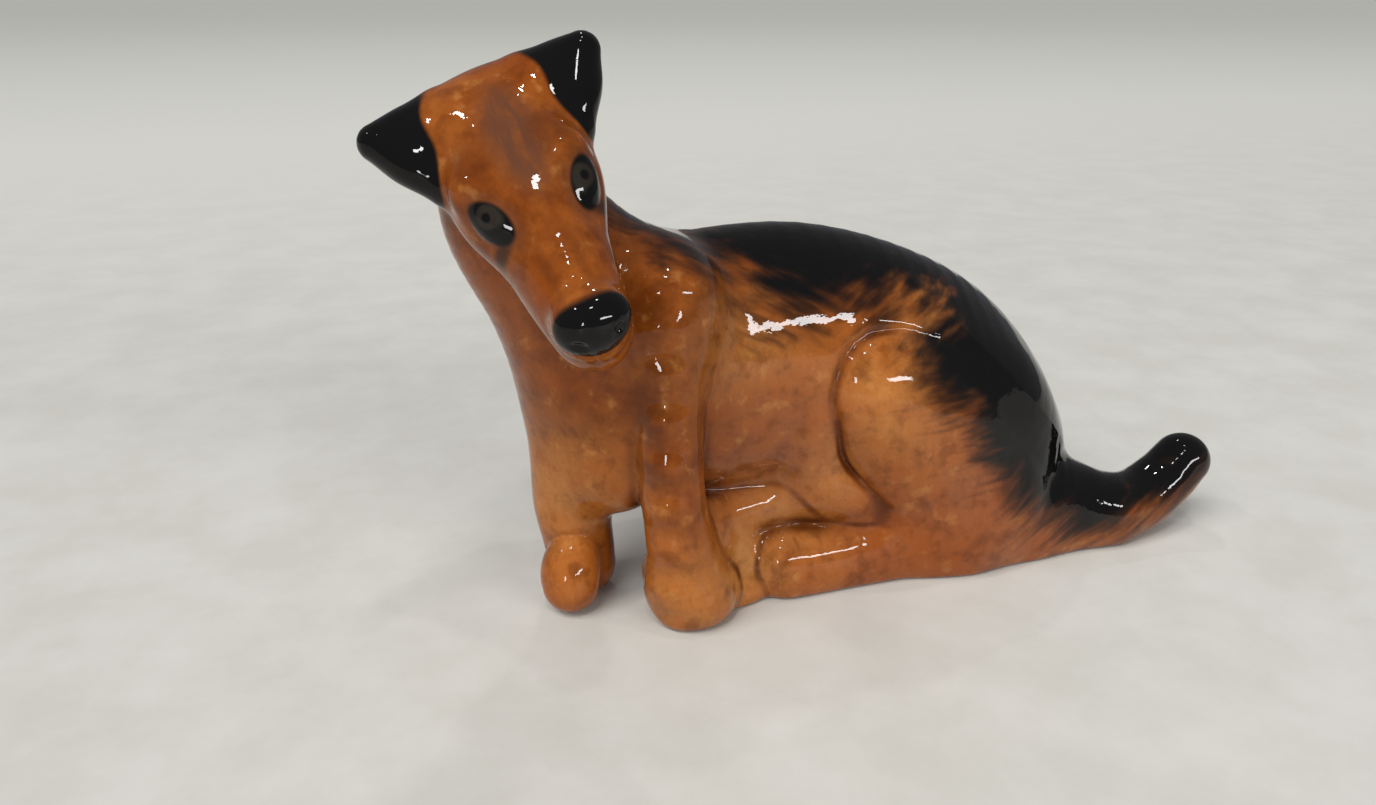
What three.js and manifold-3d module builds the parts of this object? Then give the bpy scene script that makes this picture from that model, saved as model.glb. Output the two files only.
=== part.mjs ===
// Seated terrier figurine in glazed ceramic, in millimetres, +Z up. The head and the torso are hollow slip
// castings. The ears, legs, haunches, hind feet and tail are solid castings stuck on with slip.
// +X runs from the chest to the rump. The head is turned to the dog's own left, which is -Y.
import * as THREE from 'three';
import { mergeVertices } from 'three/addons/utils/BufferGeometryUtils.js';
import Module from 'manifold-3d';

// Driving dimensions.
const WALL = 2.6;
const SEAM = 0.3;
const VENT_RADIUS = 1.5;
const VENT_AT = new THREE.Vector3(27, 0, 0);
const TORSO_FLATTENING = 0.72;
const HEAD_CENTRE = new THREE.Vector3(-37, -3, 53.2);
const HEAD_TURN = THREE.MathUtils.degToRad(-78.6);
const HEAD_NOD = THREE.MathUtils.degToRad(35);
const HEAD_TILT = THREE.MathUtils.degToRad(26.5);
const PINNA_THICKNESS = 3;
const FLAP_THICKNESS = 3.8;
const GLAZE_ROUGHNESS = 0.12;

const TAN = 0xb5652b;
const DARK_TAN = 0x8f4a22;
const BLACK = 0x1b1614;

const wasm = await Module();
wasm.setup();

// Head axes: the muzzle's way, the dog's left, and the crown's way.
const headForward = new THREE.Vector3(
  Math.cos(HEAD_TURN) * Math.cos(HEAD_NOD),
  Math.sin(HEAD_TURN) * Math.cos(HEAD_NOD),
  -Math.sin(HEAD_NOD),
);
const levelLeft = new THREE.Vector3(-Math.sin(HEAD_TURN), Math.cos(HEAD_TURN), 0);
const headLeft = levelLeft.clone().applyAxisAngle(headForward, HEAD_TILT);
const headUp = new THREE.Vector3().crossVectors(headForward, headLeft);
const headToBody = new THREE.Matrix4().makeBasis(headForward, headLeft, headUp).setPosition(HEAD_CENTRE);
const bodyToHead = headToBody.clone().invert();

// ---- Masses of clay: functions of a point, negative inside, zero on the skin, in about millimetres. ----

function blend(first, second, width) {
  const overlap = Math.max(width - Math.abs(first - second), 0) / width;
  return Math.min(first, second) - overlap * overlap * width / 4;
}

// The masses melt into each other over the given width.
function melt(width, ...masses) {
  return (p) => masses.map((mass) => mass(p)).reduce((sum, value) => blend(sum, value, width));
}

// A roll of clay through balls [x, y, z, radius], smoothed along its length.
function roll(balls, width = 0.3, steps = 3) {
  const smooth = (points) => new THREE.CatmullRomCurve3(points, false, 'catmullrom');
  const centres = smooth(balls.map(([x, y, z]) => new THREE.Vector3(x, y, z)));
  const radii = smooth(balls.map(([, , , radius]) => new THREE.Vector3(radius, 0, 0)));
  const count = steps * (balls.length - 1);
  const rings = Array.from({ length: count + 1 }, (_, i) => ({
    centre: centres.getPoint(i / count),
    radius: radii.getPoint(i / count).x,
  }));
  const spans = rings.slice(1).map((ring, i) => ({
    from: rings[i],
    to: ring,
    line: new THREE.Line3(rings[i].centre, ring.centre),
  }));
  const nearest = new THREE.Vector3();
  return (p) => spans.map(({ from, to, line }) => {
    const along = line.closestPointToPointParameter(p, true);
    line.at(along, nearest);
    return nearest.distanceTo(p) - THREE.MathUtils.lerp(from.radius, to.radius, along);
  }).reduce((sum, value) => blend(sum, value, width));
}

// An egg with its own half-lengths, pitched about Y.
function egg(centre, radii, pitch = 0) {
  const turn = new THREE.Quaternion().setFromAxisAngle(new THREE.Vector3(0, 1, 0), -pitch);
  const middle = new THREE.Vector3(...centre);
  const size = new THREE.Vector3(...radii);
  return (p) => {
    const local = p.clone().sub(middle).applyQuaternion(turn).divide(size);
    const reach = local.length();
    const slope = local.divide(size).length() + 1e-6;
    return reach * (reach - 1) / slope;
  };
}

// The body pared back to a nearly flat side: a sphere of radius bow that touches the point, its edge rounded.
function pared(body, point, facing, bow, width) {
  const way = new THREE.Vector3(...facing).normalize();
  const centre = new THREE.Vector3(...point).addScaledVector(way, -bow);
  return (p) => -blend(-body(p), bow - p.distanceTo(centre), width);
}

// A three-cornered slab with rounded edges.
function slab(corners, thickness) {
  const triangle = new THREE.Triangle(...corners.map((corner) => new THREE.Vector3(...corner)));
  const nearest = new THREE.Vector3();
  return (p) => triangle.closestPointToPoint(p, nearest).distanceTo(p) - thickness / 2;
}

// A mass that is laid out in the head's axes, where [forward, left, up] start at the head's centre.
function onHead(mass) {
  return (p) => mass(p.clone().applyMatrix4(bodyToHead));
}

function flattened(mass, factor) {
  return (p) => mass(new THREE.Vector3(p.x, p.y, p.z * factor));
}

function mirrored(corners, side) {
  return corners.map(([forward, left, up]) => [forward, side * left, up]);
}

// ---- The figure's masses. ----

const trunk = flattened(roll([
  [-25.5, 0, 28 * TORSO_FLATTENING, 9.8],
  [-16, 0.5, 27 * TORSO_FLATTENING, 11.4],
  [-4, 0.5, 26.8 * TORSO_FLATTENING, 11.6],
  [8, 0.9, 22.8 * TORSO_FLATTENING, 12],
  [17.6, 1.6, 16.6 * TORSO_FLATTENING, 12.4],
  [24.6, 1.2, 8.5 * TORSO_FLATTENING, 11.8],
]), TORSO_FLATTENING);
const neck = roll([[-26, 0, 31, 10.2], [-30.8, 0.6, 38.5, 9.2], [-34.8, 1, 45, 8.4], [-36.2, 0.6, 49, 7.7]]);
const flank = roll([[5, -3, 17, 4], [5.5, 1.5, 8, 3.6]]);
const groin = roll([
  [-2.8, -8.6, 22, 2],
  [-3.8, -8.2, 18.5, 2.3],
  [-3.2, -7.4, 14.5, 2.7],
  [2, -6.8, 11, 3.2],
]);
const shank = roll([[-1, -7.3, 13.5, 3.2], [4, -8, 11.8, 3.4], [10, -8, 9, 4.4]]);
const brisket = egg([-27, -3.5, 18.5], [6, 6, 6.5]);
const torso = melt(3, melt(6, melt(4.5, trunk, flank), neck), melt(2.5, groin, shank), brisket);

const skull = melt(2,
  egg([-0.6, 0, -0.4], [8.2, 7.4, 6.4]),
  roll([[-3.4, -3.6, -0.2, 5.7], [-3.4, 3.6, -0.2, 5.7]]));
const browRidge = (side) => egg([5.8, side * 4.4, 3.2], [3.2, 2.4, 1.9]);
const brow = melt(2, egg([5, 0, -0.6], [8.5, 7.6, 5.6]), browRidge(1), browRidge(-1));
const snout = roll([[5, 0, -1.8, 6.6], [12, 0, -2, 6.1], [18.5, 0, -2.2, 5.6], [20.2, 0, -2.4, 5.2]]);
const snoutTop = pared(snout, [13, 0, 3.7], [0.14, 0, 1], 26, 3);
const snoutSide = (body, side) => pared(body, [12.5, side * 5.5, 0], [0.13, side, 0.3], 30, 3);
const muzzle = snoutSide(snoutSide(snoutTop, 1), -1);
const chin = roll([[12, 0, -4.6, 4], [20.6, 0, -4.6, 3.6]]);
const nose = melt(1, egg([22.3, 0, -0.1], [2.5, 3.5, 2.1]), egg([22.7, 0, -1.7], [2.2, 2.4, 2.2]));
const eyeball = (side) => egg([9.4, side * 4.5, 1.9], [2.5, 1.6, 1.7]);
const bareHead = melt(2.5, skull, brow, melt(1.5, muzzle, chin));
const head = onHead(melt(0.7, bareHead, nose, eyeball(1), eyeball(-1)));

// A button ear: the flap folds forward, and the pinna behind it slopes back to the skull.
function buttonEar(side, [tipForward, tipLeft, tipUp]) {
  const flap = mirrored([[-5.3, 4.9, 2.9], [2.4, 7, 1.4], [tipForward, tipLeft - 0.5, tipUp - 0.2]], side);
  const pinna = mirrored([[-5.4, 4.8, 2.1], [tipForward, tipLeft - 2.1, tipUp - 0.9], [-2.5, 6, -1]], side);
  const swell = egg([-2.5, side * 8, 2.7], [4.3, 3.3, 2.1]);
  return onHead(melt(1.5, slab(flap, FLAP_THICKNESS), slab(pinna, PINNA_THICKNESS), swell));
}

const foreleg = {
  left: melt(4,
    roll([[-21.5, -8.6, 38, 4.2], [-22.4, -9.9, 31, 3.8], [-22.6, -10.4, 27, 3.4], [-22.6, -10.6, 22.5, 3.75],
      [-22.4, -10.7, 18, 3.4], [-22, -10.7, 13.5, 3.75], [-21.4, -10.6, 9.5, 3.8], [-20.6, -10.2, 4.6, 4.8]]),
    egg([-20.5, -5, 34], [6, 4.6, 9]),
    egg([-18.6, -9.4, 2.4], [4.6, 3.9, 3.2])),
  right: melt(0.8,
    roll([[-29.5, 1, 27, 5], [-31, 0.5, 20, 4.5], [-31.6, 0.2, 13, 4.3], [-30.8, 0.2, 7.5, 4.2],
      [-30.3, 0.3, 3.5, 4]]),
    roll([[-31.2, -1.2, 7.4, 3.3], [-32.5, -3.2, 4.7, 3.5], [-32.8, -4, 3.3, 3.3]])),
};
const haunch = {
  left: melt(6,
    egg([6, -8.6, 21.5], [12.5, 6.5, 8.6], THREE.MathUtils.degToRad(50)),
    egg([15.5, -6.6, 17], [13, 7.4, 15])),
  right: melt(4, egg([13, 5.4, 13], [13, 9, 11.5]), egg([1, 5, 8.5], [10, 7, 7.6])),
};
const hindFoot = {
  left: melt(3,
    roll([[22, -6.8, 6, 5.5], [14, -7.7, 5.6, 4.7], [6, -8, 5.2, 4.1], [0, -7.7, 4.4, 3.6],
      [-4, -7.9, 4.2, 3.6], [-7.8, -7.8, 4.3, 3.8]]),
    roll([[24, -6.6, 2.6, 4.6], [12, -7.8, 2, 3.8], [-7, -7.7, 1.6, 3.3]])),
  right: melt(1.5,
    roll([[8, -3, 11, 3.2], [0, -5, 11.2, 3.2], [-7, -5.2, 11, 3.2], [-12.5, -5.6, 10.6, 3.2],
      [-17.5, -6.4, 10.2, 3.2], [-21, -8.4, 9.6, 2.6]]),
    roll([[6, -2, 4, 4], [-6, -3.5, 4, 4], [-15, -4.5, 4, 4]]),
    egg([-16.5, -5.8, 4], [8, 4.2, 7]),
    egg([-17.6, -8.2, 6.5], [3.2, 2.8, 7.5]),
    egg([-14.5, -8, 1.2], [5, 3, 2.6])),
};
const tail = melt(1.5,
  roll([[30, -6.6, 6, 6], [37, -8.9, 4.2, 4.8], [42.5, -9.5, 4.2, 4.3], [47.3, -9.2, 6.5, 3.9],
    [50.2, -9, 9, 3.65]]),
  roll([[24, -6.2, 3, 5], [31, -7.8, 2.6, 4.9], [38, -9.2, 3, 4.6]]));

// ---- Solids. ----

// A closed skin round a spine. The rows of a sphere become stations along the spine, the rows at its two ends
// lean over into caps, and each vertex moves straight out until it meets the mass's skin, or its offset.
function skin(mass, spinePoints, { rows, columns, caps = 4, offset = 0 }) {
  const spine = new THREE.CatmullRomCurve3(spinePoints.map((point) => new THREE.Vector3(...point)));
  const stations = rows - 2 * caps;
  const { tangents, normals, binormals } = spine.computeFrenetFrames(stations, false);
  const geometry = new THREE.SphereGeometry(1, columns, rows);
  const position = geometry.attributes.position;
  for (let i = 0; i < position.count; i += 1) {
    const row = Math.floor(i / (columns + 1));
    const column = i % (columns + 1) % columns;
    const station = THREE.MathUtils.clamp(rows - caps - row, 0, stations);
    const lean = (rows - caps - row - station) / caps * Math.PI / 2;
    const around = column / columns * 2 * Math.PI;
    const pole = row === 0 || row === rows;
    const direction = tangents[station].clone().multiplyScalar(Math.sin(lean));
    if (!pole) {
      direction.addScaledVector(normals[station], -Math.cos(around) * Math.cos(lean));
      direction.addScaledVector(binormals[station], -Math.sin(around) * Math.cos(lean));
    }
    direction.normalize();
    const start = spine.getPointAt(station / stations);
    const point = start.addScaledVector(direction, reach(mass, start, direction, offset));
    position.setXYZ(i, point.x, point.y, point.z);
  }
  return solid(geometry);
}

const REACH_STEP = 0.6;
const REACH_HALVINGS = 12;

// How far from the start the mass's value first passes the offset.
function reach(mass, start, direction, offset) {
  const value = (distance) => mass(start.clone().addScaledVector(direction, distance)) - offset;
  let far = REACH_STEP;
  while (value(far) < 0) far += REACH_STEP;
  let near = far - REACH_STEP;
  for (let i = 0; i < REACH_HALVINGS; i += 1) {
    const middle = (near + far) / 2;
    if (value(middle) < 0) near = middle;
    else far = middle;
  }
  return near;
}

function solid(geometry) {
  geometry.deleteAttribute('normal');
  geometry.deleteAttribute('uv');
  const merged = mergeVertices(geometry);
  const vertProperties = new Float32Array(merged.attributes.position.array);
  const triVerts = new Uint32Array(merged.index.array);
  return new wasm.Manifold(new wasm.Mesh({ numProp: 3, vertProperties, triVerts }));
}

// The first solid less the others, without the loose crumbs that a cut can leave.
function cut(from, ...others) {
  const rest = others.reduce((left, other) => left.subtract(other), from);
  return rest.decompose().reduce((largest, crumb) => (crumb.volume() > largest.volume() ? crumb : largest));
}

const floorSize = 200;
const floor = solid(new THREE.BoxGeometry(floorSize, floorSize, floorSize).translate(0, 0, -floorSize / 2));
const vent = solid(new THREE.CylinderGeometry(VENT_RADIUS, VENT_RADIUS, 4 * WALL, 16)
  .rotateX(Math.PI / 2)
  .translate(VENT_AT.x, VENT_AT.y, VENT_AT.z));

const headPoint = (...place) => new THREE.Vector3(...place).applyMatrix4(headToBody).toArray();

const spines = {
  torso: [[-36, 0.6, 48], [-31.5, 0.6, 39], [-24, 0.3, 29], [-10, 0.4, 24], [4, 0.4, 21], [16, 0.6, 16],
    [25, 0.8, 10]],
  head: [headPoint(-4, 0, -0.3), headPoint(5, 0, -1), headPoint(13, 0, -2.6), headPoint(20, 0, -2.4)],
  leftEar: [headPoint(-1.6, 6, 2.6), headPoint(-3, 9.6, 3.5)],
  rightEar: [headPoint(-1.6, -6, 2.6), headPoint(-3, -9.6, 3.5)],
  leftForeleg: [[-21.5, -8, 37], [-22.4, -9.9, 29], [-22.3, -10.6, 18], [-20.4, -10, 5]],
  rightForeleg: [[-29.8, 1, 26], [-31.4, 0.2, 14], [-31.2, -0.8, 7.5], [-31.6, -2, 4]],
  leftHaunch: [[1, -7.6, 27], [8, -7.6, 20], [17, -6.6, 13]],
  rightHaunch: [[0, 5.2, 8.5], [9, 5.6, 11], [17, 5.6, 13]],
  leftHindFoot: [[20, -7, 5], [6, -7.9, 4.6], [-7.8, -7.8, 3.8]],
  rightHindFoot: [[5, -3, 8], [-5, -4.6, 8], [-12, -5.2, 7.4], [-17.5, -6.6, 7]],
  tail: [[27, -6.5, 4.8], [33, -7.8, 4.6], [38, -9, 4.2], [44, -9.4, 4.8], [50, -9, 8.6]],
};

const torsoDetail = { rows: 46, columns: 32, caps: 5 };
const headDetail = { rows: 34, columns: 28, caps: 5 };
const limbDetail = { rows: 26, columns: 16 };
const footDetail = { rows: 24, columns: 20 };
const earDetail = { rows: 16, columns: 20 };
const haunchDetail = { rows: 20, columns: 24 };

const aboveSole = (mass) => (p) => Math.max(mass(p), WALL - p.z);
const whole = {
  torso: skin(torso, spines.torso, torsoDetail),
  head: skin(head, spines.head, headDetail),
};
const cavity = {
  torso: skin(aboveSole((p) => torso(p) + WALL), spines.torso, { rows: 30, columns: 16 }),
  head: skin((p) => head(p) + WALL, spines.head.slice(0, 2), { rows: 14, columns: 12 }),
};
const clear = {
  torso: skin(torso, spines.torso, { ...torsoDetail, offset: SEAM }),
  head: skin(head, spines.head, { ...headDetail, offset: SEAM }),
  leftForeleg: skin(foreleg.left, spines.leftForeleg, { ...limbDetail, offset: SEAM }),
  leftHaunch: skin(haunch.left, spines.leftHaunch, { ...haunchDetail, offset: SEAM }),
  rightHaunch: skin(haunch.right, spines.rightHaunch, { ...haunchDetail, offset: SEAM }),
  leftHindFoot: skin(hindFoot.left, spines.leftHindFoot, { ...footDetail, offset: SEAM }),
};

const pieces = [
  ['torso_shell', TAN, cut(whole.torso, floor, clear.head, cavity.torso, vent)],
  ['head_shell', TAN, cut(whole.head, cavity.head, cavity.torso)],
  ['left_ear', BLACK, cut(skin(buttonEar(1, [-4, 11.3, 4.2]), spines.leftEar, earDetail), clear.head)],
  ['right_ear', BLACK, cut(skin(buttonEar(-1, [-3.6, 11.6, 4.2]), spines.rightEar, earDetail), clear.head)],
  ['left_foreleg', TAN, cut(skin(foreleg.left, spines.leftForeleg, limbDetail), clear.torso, floor)],
  ['right_foreleg', TAN, cut(skin(foreleg.right, spines.rightForeleg, limbDetail), clear.torso, floor)],
  ['left_haunch', TAN, cut(skin(haunch.left, spines.leftHaunch, haunchDetail), clear.torso, floor)],
  ['right_haunch', TAN, cut(skin(haunch.right, spines.rightHaunch, haunchDetail), clear.torso, floor)],
  ['left_hind_foot', DARK_TAN, cut(skin(hindFoot.left, spines.leftHindFoot, footDetail),
    clear.torso, clear.leftHaunch, clear.leftForeleg, floor)],
  ['right_hind_foot', DARK_TAN, cut(skin(hindFoot.right, spines.rightHindFoot, footDetail),
    clear.torso, clear.rightHaunch, clear.leftHaunch, clear.leftHindFoot, clear.leftForeleg, floor)],
  ['tail', BLACK, cut(skin(tail, spines.tail, limbDetail),
    clear.torso, clear.leftHaunch, clear.leftHindFoot, floor)],
];

// ---- The scene graph, standing on z = 0 with the middle of its box over the origin. ----

function mesh(name, colour, body) {
  const { vertProperties, triVerts } = body.getMesh();
  const geometry = new THREE.BufferGeometry();
  geometry.setAttribute('position', new THREE.BufferAttribute(vertProperties, 3));
  geometry.setIndex(new THREE.BufferAttribute(triVerts, 1));
  geometry.computeVertexNormals();
  const material = new THREE.MeshStandardMaterial({ color: colour, roughness: GLAZE_ROUGHNESS });
  const piece = new THREE.Mesh(geometry, material);
  piece.name = name;
  return piece;
}

const figure = new THREE.Group();
pieces.forEach(([name, colour, body]) => figure.add(mesh(name, colour, body)));
const box = new THREE.Box3().setFromObject(figure);
const middle = box.getCenter(new THREE.Vector3());
figure.position.set(-middle.x, -middle.y, -box.min.z);

const part = new THREE.Group();
part.add(figure);
export default part;
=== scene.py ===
"""A seated terrier figurine in glazed ceramic, rebuilt as fine meshes round its CAD frame.

The figure is one smooth union of clay masses. Its skin is found once, divided into the pieces that the
figurine is made from, and painted by fields that are stored on the vertices. Masses are in millimetres, in
the figure's own axes: +X from the chest to the rump, -Y the dog's left, +Z up. The Blender pieces are in
metres, in the CAD's frame.
"""

import math

import bpy
import numpy as np
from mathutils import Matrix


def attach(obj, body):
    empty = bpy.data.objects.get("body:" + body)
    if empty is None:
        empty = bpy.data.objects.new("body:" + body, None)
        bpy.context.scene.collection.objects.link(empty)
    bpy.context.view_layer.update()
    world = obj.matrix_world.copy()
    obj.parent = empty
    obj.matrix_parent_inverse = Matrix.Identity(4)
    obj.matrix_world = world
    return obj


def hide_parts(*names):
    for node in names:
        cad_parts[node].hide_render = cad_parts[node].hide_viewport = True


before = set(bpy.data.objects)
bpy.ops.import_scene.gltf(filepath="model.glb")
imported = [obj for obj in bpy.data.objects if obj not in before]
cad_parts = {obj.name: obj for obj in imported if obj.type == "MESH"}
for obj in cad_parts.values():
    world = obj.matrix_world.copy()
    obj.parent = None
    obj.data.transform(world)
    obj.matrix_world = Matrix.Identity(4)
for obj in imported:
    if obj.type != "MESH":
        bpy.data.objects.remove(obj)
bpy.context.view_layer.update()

MM = 0.001
CELL = 0.4
SEARCH_LOW = np.array([-57.0, -31.0, -1.0])
SEARCH_HIGH = np.array([58.0, 22.0, 70.0])
# Beyond this distance a mass no longer counts, because no blend reaches so far.
FAR = 9.0
PROBE_SPACING = 4.0
# How deep the hidden cones go that close a piece on the inside.
CAP_DEPTH = 2.0

# Driving dimensions of the figure, as in the CAD, save for the vent, which is a blind hole here.
TORSO_FLATTENING = 0.72
HEAD_CENTRE = np.array([-37.0, -3.0, 53.2])
HEAD_TURN = math.radians(-78.6)
HEAD_NOD = math.radians(35.0)
HEAD_TILT = math.radians(26.5)
PINNA_THICKNESS = 3.0
FLAP_THICKNESS = 3.8
VENT_RADIUS = 1.5
VENT_AT = (27.0, 0.0)
VENT_DEPTH = 4.9

# How widely the slip at each joint melts two masses together, and how the haunch's front crease is cut.
MELT = {
    "haunch_front": 0.7,
    "haunch_top": 6.5,
    "right_haunch": 5.0,
    "left_foreleg": 1.0,
    "shoulder": 3.5,
    "right_foreleg": 4.0,
    "tail": 1.5,
    "feet": 1.5,
    "rump_to_feet": 6.0,
    "ears": 1.2,
    "head": 1.0,
    "floor_edge": 0.6,
    "vent_edge": 0.5,
}
HAUNCH_GROOVE_DEPTH = 0.35
HAUNCH_GROOVE_REACH = 0.5


# ---- Masses of clay: functions of points, negative inside, zero on the skin, in about millimetres ----


def blend(first, second, width):
    """The smooth minimum of two masses' values, which melts their crease over the given width."""
    overlap = np.maximum(width - np.abs(first - second), 0.0) / width
    return np.minimum(first, second) - overlap * overlap * width / 4


def melt(width, *masses):
    def mass(p):
        total = masses[0](p)
        for other in masses[1:]:
            total = blend(total, other(p), width)
        return total
    return mass


def less(width, body, tool):
    """The body with the tool's shape pressed into it."""
    return lambda p: -blend(-body(p), tool(p), width)


def smoothed(balls, steps):
    """Rows [x, y, z, radius] on a Catmull-Rom curve through the balls."""
    balls = np.array(balls, float)
    ends = [2 * balls[0] - balls[1], 2 * balls[-1] - balls[-2]]
    knots = np.vstack([ends[0], balls, ends[1]])
    rows = []
    for a, b, c, d in zip(knots, knots[1:], knots[2:], knots[3:]):
        for t in np.arange(steps) / steps:
            bend = (2 * a - 5 * b + 4 * c - d) * t**2 + (3 * b - a - 3 * c + d) * t**3
            rows.append((2 * b + (c - a) * t + bend) / 2)
    return np.array(rows + [balls[-1]], np.float32)


def roll(balls, steps=5):
    """A roll of clay through balls [x, y, z, radius], smoothed along its length."""
    rows = smoothed(balls, steps)

    def mass(p):
        total = None
        for start, end in zip(rows, rows[1:]):
            line = end[:3] - start[:3]
            off = p - start[:3]
            along = np.clip(off @ line / (line @ line), 0, 1)
            off -= along[:, None] * line
            value = np.sqrt(np.einsum("ij,ij->i", off, off)) - (start[3] + (end[3] - start[3]) * along)
            total = value if total is None else np.minimum(total, value)
        return total
    return mass


def egg(centre, radii, pitch=0.0):
    """An ellipsoid with its own half-lengths, pitched about Y."""
    c, s = math.cos(pitch), math.sin(pitch)
    turn = np.array([[c, 0, -s], [0, 1, 0], [s, 0, c]], np.float32)
    centre = np.array(centre, np.float32)
    radii = np.array(radii, np.float32)

    def mass(p):
        local = (p - centre) @ turn.T / radii
        reach = np.sqrt(np.einsum("ij,ij->i", local, local))
        local /= radii
        slope = np.sqrt(np.einsum("ij,ij->i", local, local)) + 1e-6
        return reach * (reach - 1) / slope
    return mass


def planed(body, point, facing, bow, width):
    """The body pared back to a nearly flat side: a sphere of radius bow that touches the point."""
    facing = np.array(facing, np.float32) / np.linalg.norm(facing)
    centre = np.array(point, np.float32) - bow * facing
    return lambda p: -blend(-body(p), bow - np.linalg.norm(p - centre, axis=1), width)


def slab(corners, thickness):
    """A three-cornered slab with rounded edges."""
    corners = np.array(corners, np.float32)
    edges = np.roll(corners, -1, axis=0) - corners
    normal = np.cross(edges[0], edges[2])

    def mass(p):
        outside = 0
        nearest = None
        for corner, edge in zip(corners, edges):
            off = p - corner
            outside = outside + np.sign(off @ np.cross(edge, normal))
            along = np.clip(off @ edge / (edge @ edge), 0, 1)
            off = along[:, None] * edge - off
            gap = np.einsum("ij,ij->i", off, off)
            nearest = gap if nearest is None else np.minimum(nearest, gap)
        flat = ((p - corners[0]) @ normal) ** 2 / (normal @ normal)
        return np.sqrt(np.where(outside < 2, nearest, flat)) - thickness / 2
    return mass


def bounded(mass):
    """The same mass, worked out only near its own clay. Every other point counts as far."""
    margin = 2 * PROBE_SPACING
    spans = [np.arange(*ends, PROBE_SPACING) for ends in zip(SEARCH_LOW - margin, SEARCH_HIGH + margin)]
    probes = np.stack(np.meshgrid(*spans, indexing="ij"), -1).reshape(-1, 3).astype(np.float32)
    close = probes[mass(probes) < FAR + PROBE_SPACING]
    low, high = close.min(0), close.max(0)

    def trimmed(p):
        value = np.full(len(p), FAR, np.float32)
        inside = ((p > low) & (p < high)).all(1)
        value[inside] = np.minimum(mass(p[inside]), FAR)
        return value
    return trimmed


# Head axes: the muzzle's way, the dog's left, and the crown's way.
forward = np.array([math.cos(HEAD_TURN) * math.cos(HEAD_NOD), math.sin(HEAD_TURN) * math.cos(HEAD_NOD),
                    -math.sin(HEAD_NOD)])
level_left = np.array([-math.sin(HEAD_TURN), math.cos(HEAD_TURN), 0.0])
left = level_left * math.cos(HEAD_TILT) + np.cross(forward, level_left) * math.sin(HEAD_TILT)
HEAD_AXES = np.array([forward, left, np.cross(forward, left)], np.float32)


def head_coordinates(p):
    return (p - HEAD_CENTRE.astype(np.float32)) @ HEAD_AXES.T


def on_head(mass):
    """A mass that is laid out in the head's axes, where [forward, left, up] start at the head's centre."""
    return lambda p: mass(head_coordinates(p))


def rippled(mass, line, reach, pitch, height):
    """The mass with soft swells one above another, within reach of the upright line at X and Y."""
    def swollen(p):
        off = (p[:, 0] - line[0]) ** 2 + (p[:, 1] - line[1]) ** 2
        near = np.exp(-off / (2 * reach**2))
        return mass(p) - height * near * np.cos(2 * math.pi * p[:, 2] / pitch)
    return swollen


def grooved(first, second, width, depth, reach):
    """Two masses melted together, with a crisp groove where they meet."""
    def joined(p):
        a = first(p)
        b = second(p)
        return blend(a, b, width) + depth * np.exp(-((a - b) / reach) ** 2)
    return joined


def flattened(mass, factor):
    scale = np.array([1, 1, factor], np.float32)
    return lambda p: mass(p * scale)


def mirrored(corners, side):
    return [(forward, side * left, up) for forward, left, up in corners]


# ---- The figure's masses ----

trunk = flattened(roll([
    [-25.5, 0, 28 * TORSO_FLATTENING, 9.8],
    [-16, 0.5, 27.0 * TORSO_FLATTENING, 11.4],
    [-4, 0.5, 26.8 * TORSO_FLATTENING, 11.6],
    [8, 0.9, 22.8 * TORSO_FLATTENING, 12.0],
    [17.6, 2.0, 16.6 * TORSO_FLATTENING, 12.4],
    [24.6, 2.0, 8.5 * TORSO_FLATTENING, 11.8],
]), TORSO_FLATTENING)
neck = roll([[-26, 0, 31, 10.2], [-30.8, 0.6, 38.5, 9.2], [-34.8, 1, 45, 8.4], [-36.2, 0.6, 49, 7.7]])
flank = roll([[5, -3, 17, 4], [5.5, 1.5, 8, 3.6]])
groin = roll([[-2.8, -8.6, 22, 2.0], [-3.8, -8.2, 18.5, 2.3], [-3.2, -7.4, 14.5, 2.7], [2, -6.8, 11, 3.2]])
shank = roll([[-1, -7.3, 13.5, 3.2], [4, -8, 11.8, 3.4], [10, -8, 9, 4.4]])
brisket = egg([-27, -3.5, 18.5], [6, 6, 6.5])
torso = melt(3, melt(6, melt(4.5, trunk, flank), neck), melt(2.5, groin, shank), brisket)

skull = melt(
    2.0,
    egg([-0.6, 0, -0.4], [8.2, 7.4, 6.4]),
    roll([[-3.4, -3.6, -0.2, 5.7], [-3.4, 3.6, -0.2, 5.7]]),
)
brow = melt(
    2.0,
    egg([5, 0, -0.6], [8.5, 7.6, 5.6]),
    egg([5.8, -4.4, 3.2], [3.2, 2.4, 1.9]),
    egg([5.8, 4.4, 3.2], [3.2, 2.4, 1.9]),
)
snout = roll([[5, 0, -1.8, 6.6], [12, 0, -2.0, 6.1], [18.5, 0, -2.2, 5.6], [20.2, 0, -2.4, 5.2]])
muzzle = planed(snout, [13, 0, 3.7], [0.14, 0, 1], 26, 3.0)
for side in (1, -1):
    muzzle = planed(muzzle, [12.5, side * 5.5, 0], [0.13, side, 0.3], 30, 3.0)
chin = roll([[12, 0, -4.6, 4], [20.6, 0, -4.6, 3.6]])
nose_pad = egg([22.1, 0.1, -0.6], [3.1, 3.8, 3.0])
nose_paint = on_head(egg([22.9, 0.1, 0.1], [3.3, 3.8, 2.5]))

# For the dog's right eye, -1, and its left eye, 1: the centre on the head, the way along the lids towards
# the nose, and the way the eye looks.
EYE_CENTRES = {-1: [10.3, -4.6, 3.05], 1: [9.8, 5.5, 2.35]}
EYE_LENGTHS = {-1: [0.865, 0.45, -0.22], 1: [0.84, -0.32, -0.44]}
EYE_OUT = {-1: [0.46, -0.52, 0.72], 1: [0.46, 0.60, 0.66]}


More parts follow.
